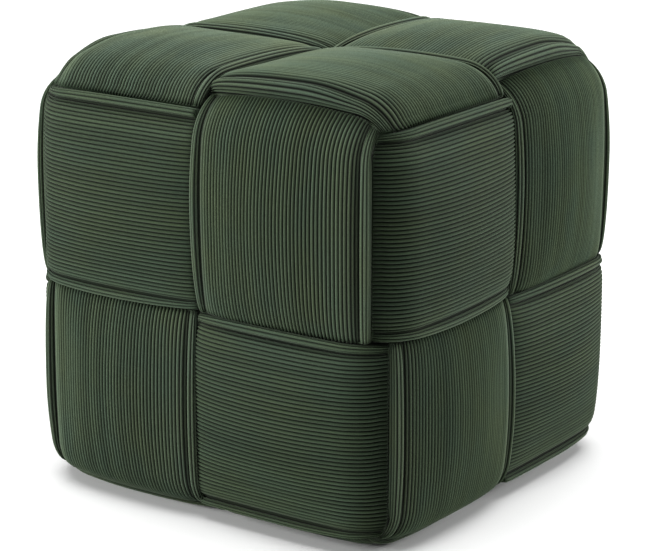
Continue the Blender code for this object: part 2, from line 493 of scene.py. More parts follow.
    def profile(self, cube: RoundedCube, flat: float, on_top: bool, ribs: Ribs) -> Profile:
        """Sample the section's outline by its length, a few points to each rib.

        The outline is resampled evenly, rounded by a running mean with bell-shaped weights, and then read
        at the ribs' sample places. Where the cloth is stretched, its length counts for less.

        Args:
            cube: The cube that the band lies on.
            flat: Where the seat's flat face ends across the band.
            on_top: Whether the cell lies on the cube's top.
            ribs: The cloth's ribs.

        Returns:
            The sampled section.
        """
        rows = self.outline(cube, flat, on_top)
        length = running_sum(np.hypot(np.diff(rows[:, 1]), np.diff(rows[:, 2])))
        step = self.rounding / self.rounding_steps
        even = np.arange(0, length[-1], step)
        columns = np.array([np.interp(even, length, column) for column in rows.T])
        margin = self.rounding_steps * self.rounding_reach
        reach = np.arange(-margin, margin + 1) * step
        weights = np.exp(-0.5 * (reach / self.rounding) ** 2)
        weights /= weights.sum()
        padded = np.pad(columns, ((0, 0), (margin, margin)), mode="reflect", reflect_type="odd")
        smooth = np.array([np.convolve(column, weights, mode="valid") for column in padded])
        side, rise, body, share = smooth[1:5]
        steps = np.hypot(np.diff(side), np.diff(rise))
        if on_top:
            steps /= 1 + self.roll_stretch * (share * (1 - body))[1:]
        walked = running_sum(steps)
        phase = ribs.phases()
        at = phase / phase[-1] * walked[-1]
        seats, side, rise, body, share, relief, light = (
            np.interp(at, walked, column) for column in smooth)
        seats = np.clip(seats, cube.border_gap, cube.seat_end(flat) - cube.border_gap)
        return Profile(phase, seats, side, rise, body, share, relief, light)


@dataclass(frozen=True)
class Course:
    """How the section's height changes along a cell, from the face's middle to the cube's edge.

    Attributes:
        hem_share: Share of its height that a hem keeps at the two ends of a cell.
        inner_start_power: Shape of the inner hem's rise at the start.
        outer_start_power: Shape of the outer hem's rise at the start, which is steeper.
        outer_start_power_top: The same on the cube's top.
        inner_end_power: Shape of the inner hem's fall at the end.
        inner_end_power_top: The same on the cube's top, where it is steeper.
        outer_end_power: Shape of the outer hem's fall at the end.
        outer_end_power_top: The same on the cube's top, where it is one high arch.
        start_share: Share of its height with which the body comes out from under its neighbour.
        start_share_top: The same on the cube's top.
        start_fill: Distance over which the body fills out at the start.
        start_fill_top: The same on the cube's top.
        start_power: Shape of that filling.
        end_share: Share of its height with which the body dives under its neighbour.
        end_share_top: The same at the cube's upper edges, on the band's inner side.
        end_share_top_middle: What is added to it there in the middle of the band.
        end_share_top_outer: The same there on its outer side.
        end_share_top_power: How late the one goes over into the other, across the band.
        end_share_from_top: The same at the end of a cell on the cube's top.
        end_share_floor: The same at the cube's lower edges, where the floor presses the body down.
        end_slack: Length at the end that stays at that share.
        end_fill: Distance over which the body falls towards the end.
        end_power: Shape of that fall.
        tuck: Length over which the body tucks in at the very end.
        tuck_share: Share of its height there that it keeps.
        nose: Length over which an outer hem rounds off at the start.
        nose_share: Share of its height there that it keeps.
        shade: Painted shade: the share of light painted into the cloth's colour at a cell's border, where
            it meets a hem.
        start_shade: Distance over which that shade fades at the start.
        end_shade: The same at the end.
        under_top_shade: The same at an end under a hem of the cube's top.
        top_shade: The same at an end on the cube's top.
        shade_power: Shape of the shade's fading at an end.
        top_painted_light: Painted light: how many times lighter the colour is painted on the cube's top,
            which catches the light from above.
        top_painted_light_reach: Distance over which that painted light fades towards the end of a cell,
            round the edge.
    """

    hem_share: float = 0.14
    inner_start_power: float = 0.55
    outer_start_power: float = 0.3
    outer_start_power_top: float = 0.3
    inner_end_power: float = 0.9
    inner_end_power_top: float = 0.35
    outer_end_power: float = 1.1
    outer_end_power_top: float = 2.2
    start_share: float = 0.4
    start_share_top: float = 0.22
    start_fill: float = 36 * MM
    start_fill_top: float = 62 * MM
    start_power: float = ROUND
    end_share: float = 0.12
    end_share_top: float = 0.5
    end_share_top_middle: float = 0.3
    end_share_top_outer: float = 0.35
    end_share_top_power: int = 3
    end_share_from_top: float = 0.32
    end_share_floor: float = 0.5
    end_slack: float = 8 * MM
    end_fill: float = 75 * MM
    end_power: float = 0.8
    tuck: float = 4 * MM
    tuck_share: float = 0.3
    nose: float = 4.5 * MM
    nose_share: float = 0.45
    shade: float = 0.3
    start_shade: float = 7 * MM
    end_shade: float = 45 * MM
    under_top_shade: float = 24 * MM
    top_shade: float = 7 * MM
    shade_power: float = 1.3
    top_painted_light: float = 1.45
    top_painted_light_reach: float = 60 * MM

    @staticmethod
    def filling(distance: np.ndarray, reach: float, power: float) -> np.ndarray:
        """Return a filling: a parabola that rises from 0 and is level at 1 after the reach, to a power."""
        share = np.clip(distance / reach, 0, 1)
        return (1 - (1 - share) ** 2) ** power

    def hem_height(self, distance: np.ndarray, length: np.ndarray, profile: Profile,
                   on_top: bool) -> np.ndarray:
        """Return the height of the hems along a cell.

        A hem rises in one arch, one minus the square of the distance from the cell's middle, to a power
        that goes over from the inner to the outer hem's. On the cube's top the outer hem has a rounded
        nose at the start.

        Args:
            distance: Distances along the cell, stations by points.
            length: Length of the cell at each point.
            profile: The section.
            on_top: Whether the cell lies on the cube's top.

        Returns:
            The shares of the full height, stations by points.
        """
        middle = 2 * distance / length - 1
        outer_start = self.outer_start_power_top if on_top else self.outer_start_power
        start_power = self.inner_start_power
        start_power = start_power + (outer_start - start_power) * profile.share
        end_power = self.inner_end_power_top if on_top else self.inner_end_power
        outer_end = self.outer_end_power_top if on_top else self.outer_end_power
        end_power = end_power + (outer_end - end_power) * profile.share
        arch = np.clip(1 - middle ** 2, 0, 1) ** np.where(middle < 0, start_power, end_power)
        if on_top:
            rounded = self.nose_share + (1 - self.nose_share) * self.filling(distance, self.nose, ROUND)
            arch = arch * (1 + (rounded - 1) * profile.share)
        return self.hem_share + (1 - self.hem_share) * arch

    def end_shares(self, share: np.ndarray, here: Face, ahead: Face) -> np.ndarray | float:
        """Return the share of its height with which the body dives under its neighbour.

        At the cube's upper edges it goes over from the inner to the outer share with a power of the place
        across, and a parabola adds to it in the middle of the band.

        Args:
            share: Places across, 0 on the inner hem and 1 on the outer hem.
            here: Face on which the cell lies.
            ahead: Face to which it leads.

        Returns:
            The share, for each place across or for all of them.
        """
        if here is Face.TOP:
            return self.end_share_from_top
        if ahead is Face.UNDER:
            return self.end_share_floor
        if ahead is not Face.TOP:
            return self.end_share
        across = self.end_share_top
        across = across + (self.end_share_top_outer - across) * share ** self.end_share_top_power
        return across + self.end_share_top_middle * 4 * share * (1 - share)

    def body_height(self, distance: np.ndarray, length: np.ndarray, profile: Profile, here: Face,
                    ahead: Face) -> np.ndarray:
        """Return the body's part of the height along a cell, which is nothing on the hems.

        It is the product of the body's filling at the start and at the end, and tucks in at the very end
        in a quarter of an ellipse.

        Args:
            distance: Distances along the cell, stations by points.
            length: Length of the cell at each point.
            profile: The section.
            here: Face on which the cell lies.
            ahead: Face to which it leads.

        Returns:
            The shares of the full height, stations by points.
        """
        on_top = here is Face.TOP
        start_fill = self.start_fill_top if on_top else self.start_fill
        start_share = self.start_share_top if on_top else self.start_share
        start = start_share + (1 - start_share) * self.filling(distance, start_fill, self.start_power)
        end_share = self.end_shares(profile.share, here, ahead)
        finish = end_share + (1 - end_share) * self.filling(
            length - distance - self.end_slack, self.end_fill, self.end_power)
        tuck_share = 1.0 if on_top or ahead is Face.UNDER else self.tuck_share
        tucked = tuck_share + (1 - tuck_share) * self.filling(length - distance, self.tuck, ROUND)
        return profile.body * start * finish * tucked

    def height(self, distance: np.ndarray, length: np.ndarray, profile: Profile, here: Face,
               ahead: Face) -> np.ndarray:
        """Return the height of a cell's points: the body's part, and the hems' height for the rest.

        Args:
            distance: Distances along the cell, stations by points.
            length: Length of the cell at each point.
            profile: The section.
            here: Face on which the cell lies.
            ahead: Face to which it leads.

        Returns:
            The shares of the full height, stations by points.
        """
        hem = self.hem_height(distance, length, profile, here is Face.TOP)
        return self.body_height(distance, length, profile, here, ahead) + (1 - profile.body) * hem

    def shading(self, distance: np.ndarray, length: np.ndarray, profile: Profile, here: Face,
                ahead: Face) -> np.ndarray:
        """Return the light painted into the cloth's colour, with painted shade where it comes out from or
        dives under a hem.

        On the cube's top the colour is painted lighter, as painted light, but not on the outer hem, whose
        face looks outward.

        Args:
            distance: Distances along the cell, stations by points.
            length: Length of the cell at each point.
            profile: The section.
            here: Face on which the cell lies.
            ahead: Face to which it leads.

        Returns:
            The shares of painted light, stations by points.
        """
        reach = self.end_shade
        if here is Face.TOP:
            reach = self.top_shade
        elif ahead is Face.TOP:
            reach = self.under_top_shade
        start = self.filling(distance, self.start_shade, PARABOLA)
        finish = self.filling(length - distance, reach, self.shade_power)
        # Painted light: on the cube's top the colour is painted lighter, fading towards the cell's end, but
        # not on the outer hem
        painted_light_gain = 1.0
        if here is Face.TOP:
            brushed = self.filling(length - distance, self.top_painted_light_reach, PARABOLA)
            painted_light_gain = 1 + (self.top_painted_light - 1) * brushed * (1 - profile.share * (1 - profile.body))
        # Painted light on the top, times painted shade at both ends of the cell
        return painted_light_gain * (self.shade + (1 - self.shade) * start) * (self.shade + (1 - self.shade) * finish)


@dataclass(frozen=True)
class Underpass:
    """The band where it runs underneath: flatter and narrower, so that its neighbours can pass.

    Attributes:
        pad: Thickness of the band there.
        setback: How far its inner side stays from the cube's middle line.
        latitude: Where its outer side ends on the cube's edge.
        side_rounding: Width over which its sides close.
        side_thickness: Thickness of its closed sides.
        stations: Number of stations from the border to the next face.
    """

    pad: float = 13 * MM
    setback: float = 18 * MM
    latitude: float = math.radians(22)
    side_rounding: float = 5 * MM
    side_thickness: float = 3 * MM
    stations: int = 3

    def seat_end(self, cube: RoundedCube, flat: float) -> float:
        """Return where the band's outer side ends across its seat."""
        return flat + cube.edge_radius * self.latitude

    def narrowed(self, seats: np.ndarray, cube: RoundedCube, flat: float) -> np.ndarray:
        """Move seat distances of the full section in proportion into the narrower one.

        Args:
            seats: Distances along the seat, of the full section.
            cube: The cube that the band lies on.
            flat: Where the seat's flat face ends across the band.

        Returns:
            The seat distances of the narrower section.
        """
        full_end = cube.seat_end(flat) - cube.border_gap
        share = (seats - cube.border_gap) / (full_end - cube.border_gap)
        return self.setback + (self.seat_end(cube, flat) - self.setback) * share

    def closing(self, seats: np.ndarray, cube: RoundedCube, flat: float) -> np.ndarray:
        """Return how far each face of the narrow section has come in at its rounded sides.

        The sides are a quarter circle: one minus the root of one minus the missing width squared, times
        half of the thickness that is lost.

        Args:
            seats: Distances along the seat, of the narrow section.
            cube: The cube that the band lies on.
            flat: Where the seat's flat face ends across the band.

        Returns:
            How far each face has come in.
        """
        inset = np.minimum(seats - self.setback, self.seat_end(cube, flat) - seats)
        missing = np.clip(1 - inset / self.side_rounding, 0, 1)
        return (1 - np.sqrt(1 - missing ** 2)) * (self.pad - self.side_thickness) / 2


@dataclass(frozen=True)
class Inside:
    """The hidden inside face of a band on top, which lifts off the band that it crosses.

    Attributes:
        lift: How far it clears the seat where it crosses the other band.
        ramp_start: Where it starts to lift, from the start of the cell.
        ramp_end: Where it has lifted.
        edge_start: The latitude of the crossing band where it starts to come down again.
        edge_end: The latitude where it is down.
        overlap: How far one of its points lies short of the flat face's end.
        middle: Which of its points lies in the middle of the flat face.
    """

    lift: float = 1.35 * MM
    ramp_start: float = 13 * MM
    ramp_end: float = 17.5 * MM
    edge_start: float = math.radians(24)
    edge_end: float = math.radians(31)
    overlap: float = 2 * MM
    middle: int = 3

    def seats(self, cube: RoundedCube, flat: float) -> np.ndarray:
        """Return the seat distances of the inside face's points, from the outer side to the inner."""
        end = cube.seat_end(flat) - cube.border_gap
        return np.array([end, (flat + end) / 2, flat - self.overlap, flat / 2, cube.border_gap])

    def height(self, distance: np.ndarray, latitude: np.ndarray, flat: float, cube: RoundedCube,
               pad: float) -> np.ndarray:
        """Return the inside face's height above the seat.

        It is low at both ends of the cell and high between, with a straight ramp at each end. The ramp at
        the cube's edge follows the crossing band's own latitude: the arc sine of the sine of the turn
        times the cosine of the latitude.

        Args:
            distance: Distances along the cell.
            latitude: Angle over the edge across the band.
            flat: Where the flat face ends along the band.
            cube: The cube that the band lies on.
            pad: Thickness of a band underneath.

        Returns:
            The heights.
        """
        turn = np.maximum(distance - flat, 0) / cube.edge_radius
        crossing = np.arcsin(np.sin(turn) * np.cos(latitude))
        up = np.clip((distance - self.ramp_start) / (self.ramp_end - self.ramp_start), 0, 1)
        down = np.clip((self.edge_end - crossing) / (self.edge_end - self.edge_start), 0, 1)
        low = -cube.gap - pad
        return low + (self.lift - low) * np.minimum(up, down)


@dataclass(frozen=True)
class Padding:
    """The wadding that swells the cloth between its seams, found by a cloth simulation.

    Attributes:
        crown: The largest swelling.
        pressure: Air pressure that stands for the wadding.
        frames: Length of the simulation.
        every_station: A coarse station is taken every so many stations.
        every_point: A coarse point is taken every so many points across.
        cap: The most that a point may move.
        mass: Mass of a coarse vertex.
        stiffness: The cloth's resistance to stretching.
        bending: The cloth's resistance to bending.
        quality: Number of steps in which the simulation takes a frame.
        held_levels: Number of levels to which the points' holding is rounded.
        blur: Width of the weights that carry the result to the fine grid, in coarse steps.
        percentile: The part of the simulated swelling that is taken as its largest.
        least: The share of the crown that it counts for at least.
        plain_power: Exponent of the plain crown, which is worked out but not used.
    """

    crown: float = 5.5 * MM
    pressure: float = 4.0
    frames: int = 20
    every_station: int = 4
    every_point: int = 9
    cap: float = 16 * MM
    mass: float = 0.3
    stiffness: float = 15.0
    bending: float = 0.5
    quality: int = 5
    held_levels: int = 20
    blur: float = 0.75
    percentile: float = 99.0
    least: float = 0.05
    plain_power: float = 2.5

    def plain(self, profile: Profile, lift: np.ndarray) -> np.ndarray:
        """Return a plain crown: one minus a power of the distance from the middle, times the lift."""
        crown = np.clip(1 - np.abs(2 * profile.share - 1) ** self.plain_power, 0, 1)
        return self.crown * crown * profile.body * lift

    def spread(self, coarse: np.ndarray, fine: np.ndarray, step: float) -> np.ndarray:
        """Return bell-shaped weights, each row summing to one, from coarse places to fine places."""
        weights = np.exp(-0.5 * ((fine[:, None] - coarse[None, :]) / (self.blur * step)) ** 2)
        return weights / weights.sum(axis=1, keepdims=True)

    def simulated(self, points: np.ndarray, faces: np.ndarray, held: np.ndarray) -> np.ndarray:
        """Blow up a closed coarse ring as cloth, and return its points afterwards.

        Args:
            points: The coarse points.
            faces: The coarse faces, four points each.
            held: How firmly each point is held, from 0 to 1.

        Returns:
            The moved points.
        """
        mesh = bpy.data.meshes.new("wadding")
        mesh.from_pydata(points.tolist(), [], faces.tolist())
        pad = linked("wadding", mesh)
        seams = pad.vertex_groups.new(name="seams")
        levels = np.round(held * self.held_levels) / self.held_levels
        for level in np.unique(levels):
            seams.add(np.flatnonzero(levels == level).tolist(), float(level), "REPLACE")
        cloth = pad.modifiers.new("Cloth", "CLOTH")
        cloth.settings.quality = self.quality
        cloth.settings.mass = self.mass
        cloth.settings.tension_stiffness = self.stiffness
        cloth.settings.compression_stiffness = self.stiffness
        cloth.settings.bending_stiffness = self.bending
        cloth.settings.vertex_group_mass = seams.name
        cloth.settings.use_pressure = True
        cloth.settings.uniform_pressure_force = self.pressure
        cloth.settings.effector_weights.gravity = 0
        cloth.point_cache.frame_start = 1
        cloth.point_cache.frame_end = self.frames
        for number in range(1, self.frames + 1):
            bpy.context.scene.frame_set(number)
        shown = pad.evaluated_get(bpy.context.evaluated_depsgraph_get())
        moved = np.empty(len(points) * 3, np.float32)
        shown.data.vertices.foreach_get("co", moved)
        bpy.data.objects.remove(pad)
        bpy.data.meshes.remove(mesh)
        bpy.context.scene.frame_set(1)
        return moved.reshape(-1, 3).astype(float)

    def swelling(self, surface: np.ndarray, inside: np.ndarray, normals: np.ndarray,
                 free: np.ndarray) -> np.ndarray:
        """Return how far the wadding pushes out each point of a band's surface.

        A coarse copy of the ring is simulated with its seams held. How far it moved along the normals is
        capped, carried to the fine grid with bell-shaped weights, and scaled to the crown.

        Args:
            surface: The fine surface, stations by points.
            inside: The inside face, stations by a few points.
            normals: The surface's normals.
            free: 1 where the cloth is free and 0 where it is held, stations by points.

        Returns:
            The swelling, stations by points.
        """
        stations = np.arange(0, surface.shape[0], self.every_station)
        across = np.unique(np.append(np.arange(0, surface.shape[1], self.every_point),
                                     surface.shape[1] - 1))
        coarse = np.concatenate((surface[np.ix_(stations, across)], inside[stations]), axis=1)
        held = np.ones(coarse.shape[:2])
        held[:, :len(across)] = 1 - free[np.ix_(stations, across)]
        moved = self.simulated(coarse.reshape(-1, 3), ring_faces(*coarse.shape[:2]), held.ravel())
        moved = moved.reshape(coarse.shape)[:, :len(across)]
        ways = normals[np.ix_(stations, across)]
        out = np.clip(((moved - coarse[:, :len(across)]) * ways).sum(axis=-1), 0, self.cap)
        by_station = self.spread(stations, np.arange(surface.shape[0]), self.every_station)
        by_point = self.spread(across, np.arange(surface.shape[1]), self.every_point)
        fine = by_station @ out @ by_point.T * free
        largest = max(np.percentile(fine, self.percentile), self.least * self.crown)
        return fine * (self.crown / largest)


def ring_faces(stations: int, points: int) -> np.ndarray:
    """Work out the faces of a grid that closes both ways.

    A point's number is its station times the points per station plus its place; a face joins a point, the
    next one across, and the same two on the next station.

    Args:
        stations: Number of stations round the ring.
        points: Number of points at each station.

    Returns:
        The faces, as rows of four point numbers.
    """
    first = np.arange(stations)[:, None]
    place = np.arange(points)[None, :]
    following = (first + 1) % stations
    beside = (place + 1) % points
    around = (first * points + place, first * points + beside,
              following * points + beside, following * points + place)
    return np.stack(np.broadcast_arrays(*around), axis=-1).reshape(-1, 4)


def ring_mesh(name: str, points: np.ndarray) -> bpy.types.Mesh:
    """Make a smooth mesh of a grid that closes both ways, with its faces looking outward.

    They look outward where the sum over the faces of the middle times the cross product of the diagonals,
    which is six times the volume, is above nothing. Else each face's points are taken the other way round.

    Args:
        name: The mesh's name.
        points: The points, stations by points round the section.

    Returns:
        The mesh.
    """
    faces = ring_faces(*points.shape[:2])
    places = points.reshape(-1, 3)
    corner = places[faces]
    crossed = np.cross(corner[:, 2] - corner[:, 0], corner[:, 3] - corner[:, 1])
    if (corner.mean(axis=1) * crossed).sum() < 0:
        faces = faces[:, ::-1]
    mesh = bpy.data.meshes.new(name)
    mesh.vertices.add(len(places))
    mesh.vertices.foreach_set("co", places.astype(np.float32).ravel())
    mesh.loops.add(faces.size)
    mesh.loops.foreach_set("vertex_index", faces.ravel().astype(np.int32))
    mesh.polygons.add(len(faces))
    mesh.polygons.foreach_set("loop_start", np.arange(0, faces.size, faces.shape[1], dtype=np.int32))
    mesh.update(calc_edges=True)
    mesh.validate()
    mesh.shade_smooth()
    return mesh


def grid_normals(surface: np.ndarray) -> np.ndarray:
    """Work out a grid's unit normals: the cross product of its steps across and along, made one long.

    Args:
        surface: The grid's points, which close up along the first axis.

    Returns:
        The normals, in the grid's order.
    """
    along = np.roll(surface, -1, axis=0) - np.roll(surface, 1, axis=0)
    across = np.gradient(surface, axis=1)
    normals = np.cross(across, along)
    return normals / np.maximum(np.linalg.norm(normals, axis=-1, keepdims=True), TINY)


@dataclass(frozen=True)
class Noise:
    """A soft noise on the cloth.

    Attributes:
        size: Size of its patches.
        detail: How many finer noises are laid over it.
        roughness: How strong those are.
        low: The value that counts as its lowest.
        high: The value that counts as its highest.
    """

    size: float
    detail: float
    roughness: float
    low: float
    high: float


class Graph:
    """A material's nodes, added by type and linked by name.

    The inputs and the output of a colour mix go by number, since their names are there once for each type
    of data.
    """

    MIX_SHARE = 0
    MIX_FIRST = 6
    MIX_SECOND = 7
    MIX_RESULT = 2

    def __init__(self, material: bpy.types.Material) -> None:
        """Take over a material's node tree.

        Args:
            material: The material whose nodes are added to.
        """
        self.tree = material.node_tree

    def add(self, kind: str, values: dict | None = None, links: dict | None = None,
            **settings: object) -> bpy.types.Node:
        """Add one node.

        Args:
            kind: The node's type.
            values: Values of its inputs, by name or number.
            links: Output sockets to link to its inputs, by name or number.
            **settings: Values of the node's own settings.

        Returns:
            The node.
        """
        node = self.tree.nodes.new(kind)
        for name, value in settings.items():
            setattr(node, name, value)
        for name, value in (values or {}).items():
            node.inputs[name].default_value = value
        for name, socket in (links or {}).items():
            self.tree.links.new(socket, node.inputs[name])
        return node

    def attribute(self, name: str) -> bpy.types.NodeSocket:
        """Return the number that an attribute of the mesh holds."""
        return self.add("ShaderNodeAttribute", attribute_name=name).outputs["Fac"]

    def maths(self, operation: str, *terms: object) -> bpy.types.NodeSocket:
        """Return the result of a sum on numbers and sockets.

        Args:
            operation: The operation's name.
            *terms: Its terms, each a number or a socket.

        Returns:
            The result's socket.
        """
        values = {place: term for place, term in enumerate(terms) if isinstance(term, (int, float))}
        links = {place: term for place, term in enumerate(terms) if place not in values}
        return self.add("ShaderNodeMath", values, links, operation=operation).outputs[0]

    def mix(self, kind: str, share: object, first: object, second: object) -> bpy.types.NodeSocket:
        """Return two colours mixed.

        Args:
            kind: How they are mixed.
            share: The share of the second, a number or a socket.
            first: The first colour, as numbers or a socket.
            second: The second colour, as numbers or a socket.

        Returns:
            The colour's socket.
        """
        terms = {self.MIX_SHARE: share, self.MIX_FIRST: first, self.MIX_SECOND: second}
        values = {place: term for place, term in terms.items() if isinstance(term, (float, tuple))}
        links = {place: term for place, term in terms.items() if place not in values}
        node = self.add("ShaderNodeMix", values, links, data_type="RGBA", blend_type=kind)
        return node.outputs[self.MIX_RESULT]

    def remap(self, value: bpy.types.NodeSocket, start: tuple[float, float],
              end: tuple[float, float] = (0.0, 1.0),
              curve: Curve = Curve.STRAIGHT) -> bpy.types.NodeSocket:
        """Return a number carried from one range to another, and kept within it.

        Args:
            value: The number's socket.
            start: The range that it comes from.
            end: The range that it is carried to.
            curve: How it goes from the one end to the other.

        Returns:
            The result's socket.
        """
        values = {"From Min": start[0], "From Max": start[1], "To Min": end[0], "To Max": end[1]}
        node = self.add("ShaderNodeMapRange", values, {"Value": value}, interpolation_type=curve.value)
        return node.outputs["Result"]

    def noise(self, kind: Noise, across: bpy.types.NodeSocket, along: bpy.types.NodeSocket,
              shift: float) -> bpy.types.NodeSocket:
        """Return a noise's value, as it comes.

        Args:
            kind: The noise.
            across: The place across the cloth.
            along: The place along the cloth.
            shift: Where the cloth cuts through the noise.

        Returns:
            The value's socket.
        """
        place = self.add("ShaderNodeCombineXYZ", {"Z": shift}, {"X": across, "Y": along}).outputs["Vector"]
        values = {"Scale": 1 / kind.size, "Detail": kind.detail, "Roughness": kind.roughness}
        return self.add("ShaderNodeTexNoise", values, {"Vector": place}).outputs["Fac"]


@dataclass(frozen=True)
class Corduroy:
    """Finish of the cloth: dark green wide-wale corduroy with a brushed pile.

    Attributes:
        cool: Colour where the pile lies one way.
        warm: Colour where it lies the other way.
        furrow: What the colour is multiplied by at the bottom of a furrow: partly the darker base weave,
            partly painted shade.
        furrow_top: Share of a rib's height at which the furrow's darkness ends.
        painted_sheen_greying: Painted sheen: powers of the painted light and shade by which red and blue
            gain on green where it is lighter.
        patches: The patches of nap, as wide as they are across the ribs.
        patch_stretch: How many times longer they are along the ribs.
        patch_shift: How far the patches are shifted from band to band.
        rib_spread: How much one rib differs from the next.
        rib_shift: How many ribs apart two bands are in the noise that tells their ribs apart.
        fibres: The tufts of pile.
        fibre_shift: How far the tufts are shifted from band to band.
        fibre_spread: How much the tufts differ in brightness.
        fibre_depth: Depth of the tufts.
        fibre_bump: Strength of their bump.
        roughness: Roughness of the pile.
        sheen: Strength of the sheen.
        sheen_roughness: Width of the sheen.
        sheen_tint: Colour of the sheen.
        specular: Level of the plain gloss.
    """

    cool: tuple[float, float, float] = (0.053, 0.081, 0.052)
    warm: tuple[float, float, float] = (0.061, 0.085, 0.046)
    furrow: float = 0.03
    furrow_top: float = 0.95
    painted_sheen_greying: tuple[float, float] = (0.15, 0.2)
    patches: Noise = Noise(38 * MM, 3.0, 0.6, 0.33, 0.67)
    patch_stretch: float = 2.2
    patch_shift: float = 1.7
    rib_spread: float = 0.14
    rib_shift: float = 61.0
    fibres: Noise = Noise(0.9 * MM, 4.0, 0.65, 0.3, 0.7)
    fibre_shift: float = 0.3
    fibre_spread: float = 0.22
    fibre_depth: float = 0.35 * MM
    fibre_bump: float = 0.6
    roughness: float = 0.92
    sheen: float = 0.15
    sheen_roughness: float = 0.45
    sheen_tint: tuple[float, float, float] = (0.78, 0.90, 0.72)
    specular: float = 0.12

    def green(self, graph: Graph, across: bpy.types.NodeSocket, seed: int) -> bpy.types.NodeSocket:
        """Return the cloth's colour: it drifts between two greens in long soft patches where the pile lies
        differently.

        Args:
            graph: The material's nodes.
            across: The place across the cloth.
            seed: The band's number.

        Returns:
            The colour's socket.
        """
        along = graph.maths("DIVIDE", graph.attribute("along"), self.patch_stretch)
        patches = graph.noise(self.patches, across, along, seed * self.patch_shift)
        share = graph.remap(patches, (self.patches.low, self.patches.high))
        return graph.mix("MIX", share, (*self.cool, 1.0), (*self.warm, 1.0))

    def brightness(self, graph: Graph, rib: bpy.types.NodeSocket, fibres: bpy.types.NodeSocket,
                   seed: int) -> bpy.types.NodeSocket:
        """Return the brightness of ribs, tufts and furrows: the product of one number for each.

        Args:
            graph: The material's nodes.
            rib: The place across the cloth, counted in ribs.
            fibres: The noise of the tufts.
            seed: The band's number.

        Returns:
            The brightness's socket.
        """
        number = graph.maths("ADD", graph.maths("FLOOR", rib), seed * self.rib_shift)
        rib_noise = graph.add("ShaderNodeTexWhiteNoise", None, {"W": number}, noise_dimensions="1D")
        rib_tone = graph.remap(rib_noise.outputs["Value"], (0.0, 1.0),
                               (1 - self.rib_spread, 1 + self.rib_spread))
        fibre_tone = graph.remap(fibres, (self.fibres.low, self.fibres.high),
                                 (1 - self.fibre_spread, 1 + self.fibre_spread))
        # Furrow darkness: partly the darker base weave, partly painted shade, with more painted shade in
        # the grooves
        furrow_tone = graph.remap(graph.attribute("height"), (0.0, self.furrow_top), (self.furrow, 1.0),
                                  Curve.EASED)
        return graph.maths("MULTIPLY", graph.maths("MULTIPLY", rib_tone, fibre_tone), furrow_tone)

    def make(self, name: str, seed: int, pitch: float) -> bpy.types.Material:
        """Make the material for one band.

        Its colour is the green times the brightness and the painted light and shade, with red and blue a
        little stronger where that painted light is higher, as a painted sheen. The tufts also make the
        bump.

        Args:
            name: The material's name.
            seed: The band's number, by which no two bands are alike.
            pitch: Distance from rib to rib.

        Returns:
            The material.
        """
        material = bpy.data.materials.new(name)
        material.use_nodes = True
        shader = material.node_tree.nodes["Principled BSDF"]
        graph = Graph(material)
        rib = graph.attribute("across")
        across = graph.maths("MULTIPLY", rib, pitch)
        fibres = graph.noise(self.fibres, across, graph.attribute("along"), seed * self.fibre_shift)
        # Painted light and shade read from the mesh, which lightens or darkens the colour
        shade = graph.attribute("shade")
        tone = graph.maths("MULTIPLY", self.brightness(graph, rib, fibres, seed), shade)
        # Painted sheen: red and blue gain on green where the painted light is higher
        red, blue = (graph.maths("MULTIPLY", tone, graph.maths("POWER", shade, power))
                     for power in self.painted_sheen_greying)
        tint = graph.add("ShaderNodeCombineColor", None, {"Red": red, "Green": tone, "Blue": blue})
        colour = graph.mix("MULTIPLY", 1.0, self.green(graph, across, seed), tint.outputs["Color"])
        bump = graph.add("ShaderNodeBump", {"Strength": self.fibre_bump, "Distance": self.fibre_depth},
                         {"Height": fibres})
        graph.tree.links.new(colour, shader.inputs["Base Color"])
        graph.tree.links.new(bump.outputs["Normal"], shader.inputs["Normal"])
        shader.inputs["Roughness"].default_value = self.roughness
        shader.inputs["Specular IOR Level"].default_value = self.specular
        shader.inputs["Sheen Weight"].default_value = self.sheen
        shader.inputs["Sheen Roughness"].default_value = self.sheen_roughness
        shader.inputs["Sheen Tint"].default_value = (*self.sheen_tint, 1.0)
        return material


@dataclass(frozen=True)
class Cell:
    """A cell on top, worked out. Each array has the stations first.

    Attributes:
        surface: The surface's points.
        inside: The inside face's points.
        height: The share of the full height at each point.
        shading: The share of the light at each point.
    """

    surface: np.ndarray
    inside: np.ndarray
    height: np.ndarray
    shading: np.ndarray


